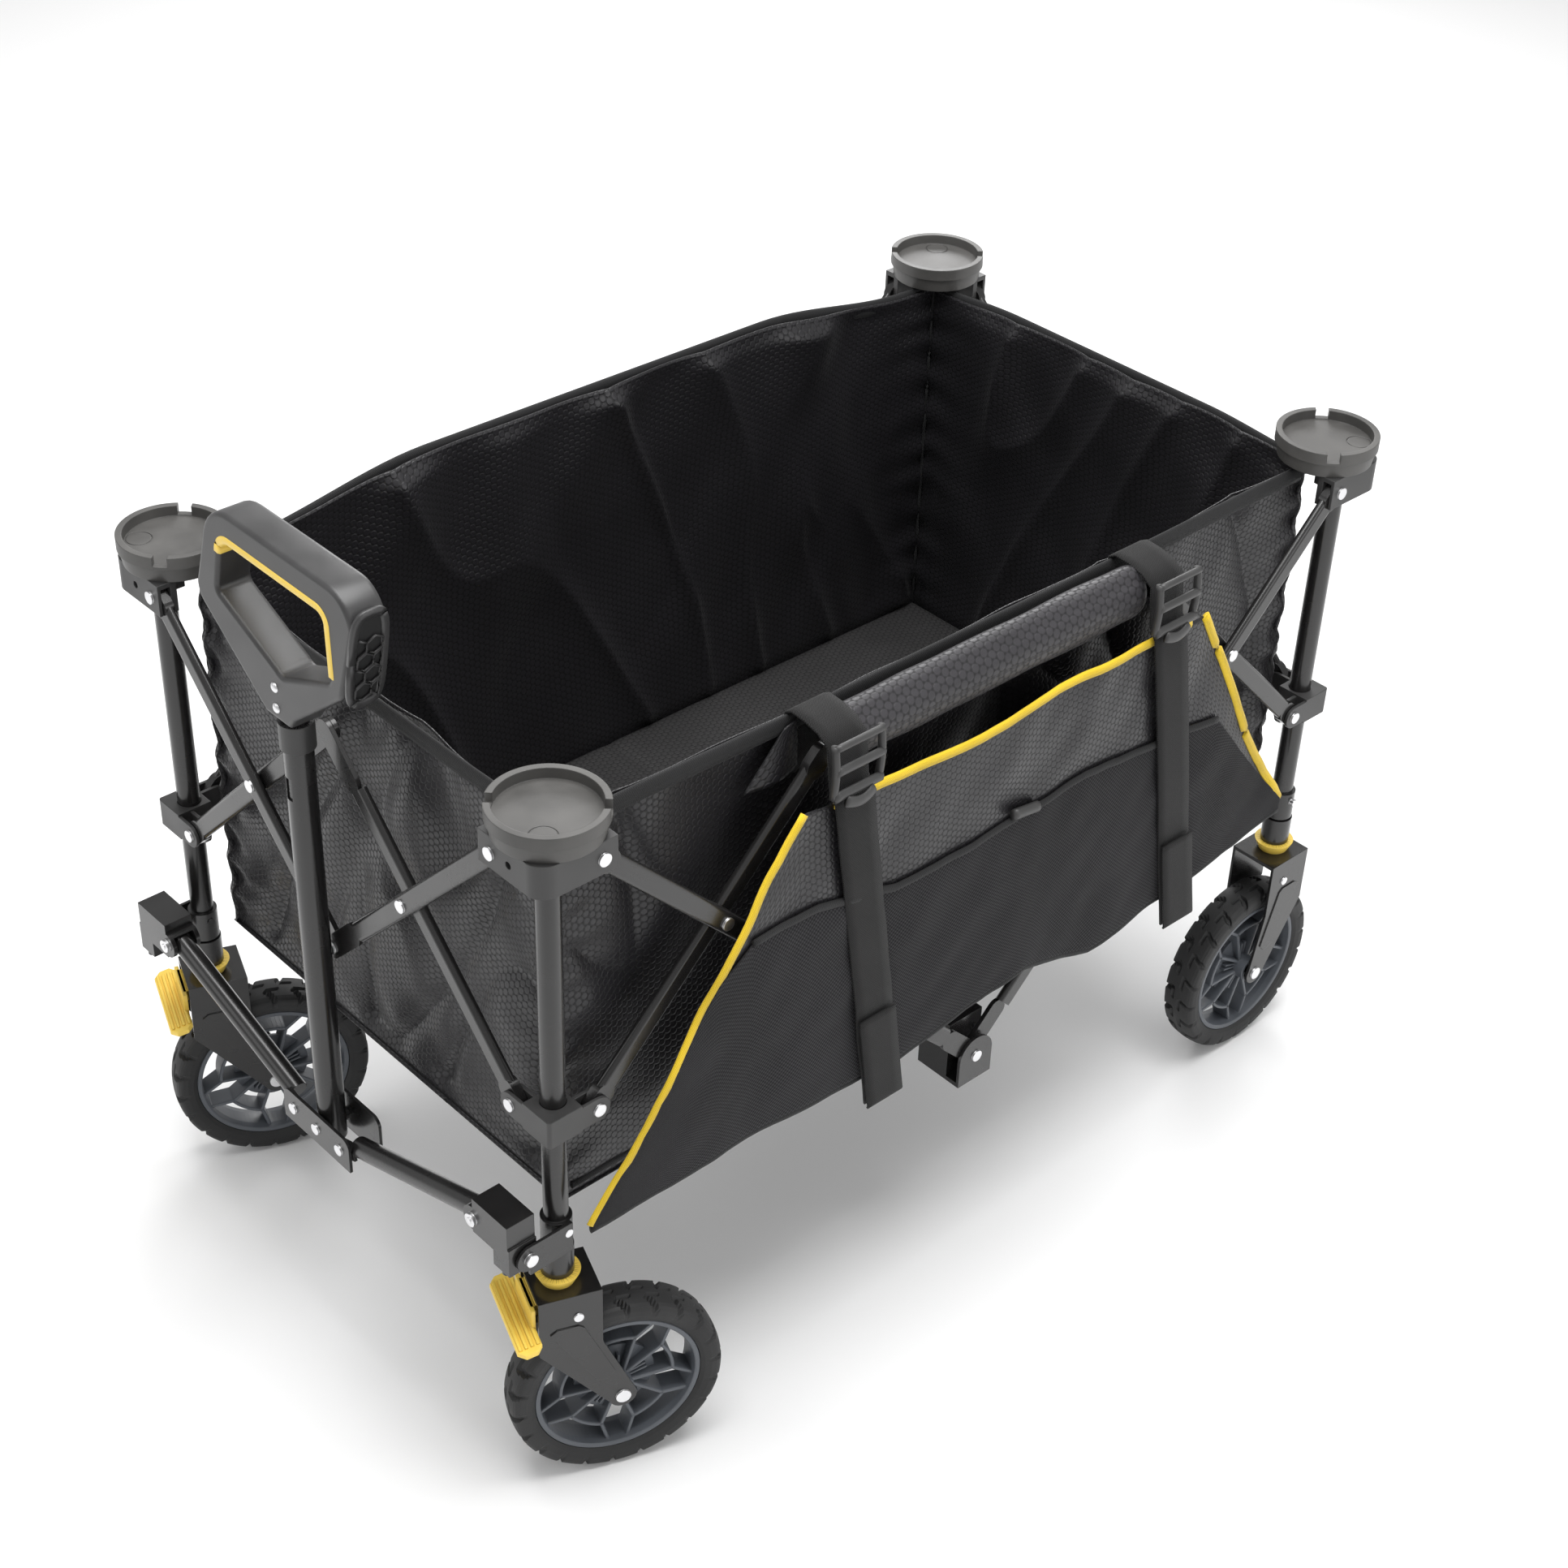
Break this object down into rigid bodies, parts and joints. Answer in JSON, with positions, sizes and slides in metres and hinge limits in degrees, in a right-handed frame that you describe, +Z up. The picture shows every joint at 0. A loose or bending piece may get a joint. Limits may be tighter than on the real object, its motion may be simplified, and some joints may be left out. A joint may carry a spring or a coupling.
{
  "type": "folding wagon with pull handle",
  "caption": "Collapsible fabric utility wagon with scissor-link frame, swivelling front wheels, corner cup trays, side pouch and telescoping pull handle.",
  "frame": {"origin": "on the ground under the middle of the whole wagon", "axes": "+X towards the pull handle, +Y towards the side with the pouch, +Z up"},
  "size_m": [1.1065, 0.6665, 0.873],
  "materials": {
    "basket_fabric": "matt ripstop",
    "mat_fabric": "matt woven",
    "pouch_fabric": "matt woven with yellow binding",
    "webbing": "woven",
    "tyre": "matt rubber",
    "rim_plastic": "satin",
    "yellow_plastic": "satin",
    "dark_plastic": "satin",
    "black_paint": "glossy powder coat"
  },
  "bodies": {
    "bed": {"basket": "basket_fabric", "floor_mat": "mat_fabric"},
    "leg_front_left": {"leg_front_left": "black_paint", "bracket_front_left": "dark_plastic", "cup_front_left": "dark_plastic", "side_pouch": "pouch_fabric"},
    "collar_front_left": {"collar_front_left": "dark_plastic"},
    "side_top_link_front_left": {"side_top_link_front_left": "black_paint"},
    "side_brace_front_left": {"side_brace_front_left": "black_paint"},
    "end_top_link_front_left": {"end_top_link_front_left": "black_paint"},
    "end_brace_front_left": {"end_brace_front_left": "black_paint"},
    "leg_front_right": {"leg_front_right": "black_paint", "bracket_front_right": "dark_plastic", "cup_front_right": "dark_plastic"},
    "collar_front_right": {"collar_front_right": "dark_plastic"},
    "side_top_link_front_right": {"side_top_link_front_right": "black_paint"},
    "side_brace_front_right": {"side_brace_front_right": "black_paint"},
    "end_top_link_front_right": {"end_top_link_front_right": "black_paint"},
    "end_brace_front_right": {"end_brace_front_right": "black_paint"},
    "leg_rear_left": {"leg_rear_left": "black_paint", "bracket_rear_left": "dark_plastic", "cup_rear_left": "dark_plastic", "rear_fork_left": "black_paint"},
    "collar_rear_left": {"collar_rear_left": "dark_plastic"},
    "side_top_link_rear_left": {"side_top_link_rear_left": "black_paint"},
    "side_brace_rear_left": {"side_brace_rear_left": "black_paint"},
    "end_top_link_rear_left": {"end_top_link_rear_left": "black_paint"},
    "end_brace_rear_left": {"end_brace_rear_left": "black_paint"},
    "leg_rear_right": {"leg_rear_right": "black_paint", "bracket_rear_right": "dark_plastic", "cup_rear_right": "dark_plastic", "rear_fork_right": "black_paint"},
    "collar_rear_right": {"collar_rear_right": "dark_plastic"},
    "side_top_link_rear_right": {"side_top_link_rear_right": "black_paint"},
    "side_brace_rear_right": {"side_brace_rear_right": "black_paint"},
    "end_top_link_rear_right": {"end_top_link_rear_right": "black_paint"},
    "end_brace_rear_right": {"end_brace_rear_right": "black_paint"},
    "side_hub_left": {"side_hub_left": "black_paint"},
    "side_hub_right": {"side_hub_right": "black_paint"},
    "caster_fork_left": {"caster_fork_left": "black_paint"},
    "wheel_front_left": {"tyre_front_left": "tyre", "rim_front_left": "rim_plastic"},
    "brake_lever_left": {"brake_lever_left": "yellow_plastic"},
    "wheel_rear_left": {"tyre_rear_left": "tyre", "rim_rear_left": "rim_plastic"},
    "caster_fork_right": {"caster_fork_right": "black_paint"},
    "wheel_front_right": {"tyre_front_right": "tyre", "rim_front_right": "rim_plastic"},
    "brake_lever_right": {"brake_lever_right": "yellow_plastic"},
    "wheel_rear_right": {"tyre_rear_right": "tyre", "rim_rear_right": "rim_plastic"},
    "yoke_box_left": {"yoke_box_left": "black_paint"},
    "yoke_tube_left": {"yoke_tube_left": "black_paint"},
    "yoke_box_right": {"yoke_box_right": "black_paint"},
    "yoke_tube_right": {"yoke_tube_right": "black_paint"},
    "pole": {"pull_pole": "black_paint"},
    "grip": {"inner_tube": "black_paint", "pull_grip": "dark_plastic"},
    "strap_front": {"strap_front": "webbing"},
    "strap_rear": {"strap_rear": "webbing"}
  },
  "joints": [
    {"name": "fold", "type": "slide", "parent": "bed", "child": "leg_front_left", "axis": [-0.8809, -0.4733, 0], "range_m": [0, 0.16274], "deforming": ["basket", "floor_mat", "side_pouch"]},
    {"name": "slide_front_left", "type": "slide", "parent": "leg_front_left", "child": "collar_front_left", "axis": [0, 0, -1], "range_m": [-0.0005, 0.06328]},
    {"name": "side_link_front_left", "type": "hinge", "parent": "leg_front_left", "child": "side_top_link_front_left", "pos_m": [0.456, 0.2854, 0.695], "axis": [0, -1, 0], "range_deg": [-0.05, 16.05]},
    {"name": "side_cross_front_left", "type": "hinge", "parent": "side_top_link_front_left", "child": "side_brace_front_left", "pos_m": [0.3235, 0.2804, 0.5625], "axis": [0, 1, 0], "range_deg": [-0.1, 32.1]},
    {"name": "end_link_front_left", "type": "hinge", "parent": "leg_front_left", "child": "end_top_link_front_left", "pos_m": [0.511, 0.2304, 0.695], "axis": [1, 0, 0], "range_deg": [-0.05, 16.05]},
    {"name": "end_cross_front_left", "type": "hinge", "parent": "end_top_link_front_left", "child": "end_brace_front_left", "pos_m": [0.506, 0.0979, 0.5625], "axis": [-1, 0, 0], "range_deg": [-0.1, 32.1]},
    {"name": "fold_front_right", "type": "slide", "parent": "bed", "child": "leg_front_right", "axis": [-0.8809, 0.4733, 0], "range_m": [-0.0005, 0.16324]},
    {"name": "slide_front_right", "type": "slide", "parent": "leg_front_right", "child": "collar_front_right", "axis": [0, 0, -1], "range_m": [-0.0005, 0.06328]},
    {"name": "side_link_front_right", "type": "hinge", "parent": "leg_front_right", "child": "side_top_link_front_right", "pos_m": [0.456, -0.3146, 0.695], "axis": [0, -1, 0], "range_deg": [-0.05, 16.05]},
    {"name": "side_cross_front_right", "type": "hinge", "parent": "side_top_link_front_right", "child": "side_brace_front_right", "pos_m": [0.3235, -0.3096, 0.5625], "axis": [0, 1, 0], "range_deg": [-0.1, 32.1]},
    {"name": "end_link_front_right", "type": "hinge", "parent": "leg_front_right", "child": "end_top_link_front_right", "pos_m": [0.511, -0.2596, 0.695], "axis": [-1, 0, 0], "range_deg": [-0.05, 16.05]},
    {"name": "end_cross_front_right", "type": "hinge", "parent": "end_top_link_front_right", "child": "end_brace_front_right", "pos_m": [0.506, -0.1271, 0.5625], "axis": [1, 0, 0], "range_deg": [-0.1, 32.1]},
    {"name": "fold_rear_left", "type": "slide", "parent": "bed", "child": "leg_rear_left", "axis": [0.8809, -0.4733, 0], "range_m": [-0.0005, 0.16324]},
    {"name": "slide_rear_left", "type": "slide", "parent": "leg_rear_left", "child": "collar_rear_left", "axis": [0, 0, -1], "range_m": [-0.0005, 0.06328]},
    {"name": "side_link_rear_left", "type": "hinge", "parent": "leg_rear_left", "child": "side_top_link_rear_left", "pos_m": [-0.456, 0.2854, 0.695], "axis": [0, 1, 0], "range_deg": [-0.05, 16.05]},
    {"name": "side_cross_rear_left", "type": "hinge", "parent": "side_top_link_rear_left", "child": "side_brace_rear_left", "pos_m": [-0.3235, 0.2804, 0.5625], "axis": [0, -1, 0], "range_deg": [-0.1, 32.1]},
    {"name": "end_link_rear_left", "type": "hinge", "parent": "leg_rear_left", "child": "end_top_link_rear_left", "pos_m": [-0.511, 0.2304, 0.695], "axis": [1, 0, 0], "range_deg": [-0.05, 16.05]},
    {"name": "end_cross_rear_left", "type": "hinge", "parent": "end_top_link_rear_left", "child": "end_brace_rear_left", "pos_m": [-0.506, 0.0979, 0.5625], "axis": [-1, 0, 0], "range_deg": [-0.1, 32.1]},
    {"name": "fold_rear_right", "type": "slide", "parent": "bed", "child": "leg_rear_right", "axis": [0.8809, 0.4733, 0], "range_m": [-0.0005, 0.16324]},
    {"name": "slide_rear_right", "type": "slide", "parent": "leg_rear_right", "child": "collar_rear_right", "axis": [0, 0, -1], "range_m": [-0.0005, 0.06328]},
    {"name": "side_link_rear_right", "type": "hinge", "parent": "leg_rear_right", "child": "side_top_link_rear_right", "pos_m": [-0.456, -0.3146, 0.695], "axis": [0, 1, 0], "range_deg": [-0.05, 16.05]},
    {"name": "side_cross_rear_right", "type": "hinge", "parent": "side_top_link_rear_right", "child": "side_brace_rear_right", "pos_m": [-0.3235, -0.3096, 0.5625], "axis": [0, -1, 0], "range_deg": [-0.1, 32.1]},
    {"name": "end_link_rear_right", "type": "hinge", "parent": "leg_rear_right", "child": "end_top_link_rear_right", "pos_m": [-0.511, -0.2596, 0.695], "axis": [-1, 0, 0], "range_deg": [-0.05, 16.05]},
    {"name": "end_cross_rear_right", "type": "hinge", "parent": "end_top_link_rear_right", "child": "end_brace_rear_right", "pos_m": [-0.506, -0.1271, 0.5625], "axis": [1, 0, 0], "range_deg": [-0.1, 32.1]},
    {"name": "hub_pivot_left", "type": "hinge", "parent": "side_top_link_front_left", "child": "side_hub_left", "pos_m": [0, 0.2874, 0.239], "axis": [0, 1, 0], "range_deg": [-0.05, 16.05]},
    {"name": "hub_pivot_right", "type": "hinge", "parent": "side_top_link_front_right", "child": "side_hub_right", "pos_m": [0, -0.3166, 0.239], "axis": [0, 1, 0], "range_deg": [-0.05, 16.05]},
    {"name": "swivel_left", "type": "hinge", "parent": "leg_front_left", "child": "caster_fork_left", "pos_m": [0.488, 0.2624, 0.24], "axis": [0, 0, 1], "continuous": true},
    {"name": "roll_front_left", "type": "hinge", "parent": "caster_fork_left", "child": "wheel_front_left", "pos_m": [0.44132, 0.28032, 0.1], "axis": [-0.3584, -0.9336, 0], "continuous": true},
    {"name": "brake_left", "type": "hinge", "parent": "caster_fork_left", "child": "brake_lever_left", "pos_m": [0.50761, 0.25487, 0.226], "axis": [-0.3584, -0.9336, 0], "range_deg": [0, 20]},
    {"name": "roll_rear_left", "type": "hinge", "parent": "leg_rear_left", "child": "wheel_rear_left", "pos_m": [-0.453, 0.2624, 0.1], "axis": [0, 1, 0], "continuous": true},
    {"name": "swivel_right", "type": "hinge", "parent": "leg_front_right", "child": "caster_fork_right", "pos_m": [0.488, -0.2916, 0.24], "axis": [0, 0, 1], "continuous": true},
    {"name": "roll_front_right", "type": "hinge", "parent": "caster_fork_right", "child": "wheel_front_right", "pos_m": [0.44132, -0.27368, 0.1], "axis": [-0.3584, -0.9336, 0], "continuous": true},
    {"name": "brake_right", "type": "hinge", "parent": "caster_fork_right", "child": "brake_lever_right", "pos_m": [0.50761, -0.29913, 0.226], "axis": [-0.3584, -0.9336, 0], "range_deg": [0, 20]},
    {"name": "roll_rear_right", "type": "hinge", "parent": "leg_rear_right", "child": "wheel_rear_right", "pos_m": [-0.453, -0.2916, 0.1], "axis": [0, 1, 0], "continuous": true},
    {"name": "tilt", "type": "hinge", "parent": "leg_front_left", "child": "yoke_box_left", "pos_m": [0.53, 0.2624, 0.303], "axis": [0, 1, 0], "range_deg": [0, 60]},
    {"name": "yoke_bolt_left", "type": "hinge", "parent": "yoke_box_left", "child": "yoke_tube_left", "pos_m": [0.5345, 0.2264, 0.322], "axis": [1, 0, 0], "range_deg": [-0.1, 35.64]},
    {"name": "tilt_right", "type": "hinge", "parent": "leg_front_right", "child": "yoke_box_right", "pos_m": [0.53, -0.2916, 0.303], "axis": [0, 1, 0], "range_deg": [-0.1, 60.1]},
    {"name": "yoke_bolt_right", "type": "hinge", "parent": "yoke_box_right", "child": "yoke_tube_right", "pos_m": [0.5345, -0.2556, 0.322], "axis": [-1, 0, 0], "range_deg": [-0.1, 35.64]},
    {"name": "foot_slide", "type": "slide", "parent": "yoke_box_left", "child": "pole", "axis": [0, 0.5866, -0.8099], "range_m": [-0.0005, 0.1318]},
    {"name": "reach", "type": "slide", "parent": "pole", "child": "grip", "axis": [0, 0, 1], "range_m": [0, 0.26]},
    {"name": "strap_slide_front", "type": "slide", "parent": "leg_front_left", "child": "strap_front", "axis": [1, 0, 0], "range_m": [-0.0005, 0.0851]},
    {"name": "strap_slide_rear", "type": "slide", "parent": "leg_rear_left", "child": "strap_rear", "axis": [-1, 0, 0], "range_m": [-0.0005, 0.0851]}
  ],
  "couplings": [
    {"joint": "slide_front_left", "follows": "fold", "ratio": 0.38577},
    {"joint": "side_link_front_left", "follows": "fold", "rad_per_m": 1.716},
    {"joint": "side_cross_front_left", "follows": "fold", "rad_per_m": 3.432},
    {"joint": "end_link_front_left", "follows": "fold", "rad_per_m": 1.716},
    {"joint": "end_cross_front_left", "follows": "fold", "rad_per_m": 3.432},
    {"joint": "fold_front_right", "follows": "fold", "ratio": 1},
    {"joint": "slide_front_right", "follows": "fold", "ratio": 0.38577},
    {"joint": "side_link_front_right", "follows": "fold", "rad_per_m": 1.716},
    {"joint": "side_cross_front_right", "follows": "fold", "rad_per_m": 3.432},
    {"joint": "end_link_front_right", "follows": "fold", "rad_per_m": 1.716},
    {"joint": "end_cross_front_right", "follows": "fold", "rad_per_m": 3.432},
    {"joint": "fold_rear_left", "follows": "fold", "ratio": 1},
    {"joint": "slide_rear_left", "follows": "fold", "ratio": 0.38577},
    {"joint": "side_link_rear_left", "follows": "fold", "rad_per_m": 1.716},
    {"joint": "side_cross_rear_left", "follows": "fold", "rad_per_m": 3.432},
    {"joint": "end_link_rear_left", "follows": "fold", "rad_per_m": 1.716},
    {"joint": "end_cross_rear_left", "follows": "fold", "rad_per_m": 3.432},
    {"joint": "fold_rear_right", "follows": "fold", "ratio": 1},
    {"joint": "slide_rear_right", "follows": "fold", "ratio": 0.38577},
    {"joint": "side_link_rear_right", "follows": "fold", "rad_per_m": 1.716},
    {"joint": "side_cross_rear_right", "follows": "fold", "rad_per_m": 3.432},
    {"joint": "end_link_rear_right", "follows": "fold", "rad_per_m": 1.716},
    {"joint": "end_cross_rear_right", "follows": "fold", "rad_per_m": 3.432},
    {"joint": "hub_pivot_left", "follows": "fold", "rad_per_m": 1.716},
    {"joint": "hub_pivot_right", "follows": "fold", "rad_per_m": 1.716},
    {"joint": "yoke_bolt_left", "follows": "fold", "rad_per_m": 3.8116},
    {"joint": "tilt_right", "follows": "tilt", "ratio": 1},
    {"joint": "yoke_bolt_right", "follows": "fold", "rad_per_m": 3.8116},
    {"joint": "foot_slide", "follows": "fold", "ratio": 0.8068},
    {"joint": "strap_slide_front", "follows": "fold", "ratio": 0.51988},
    {"joint": "strap_slide_rear", "follows": "fold", "ratio": 0.51988}
  ]
}
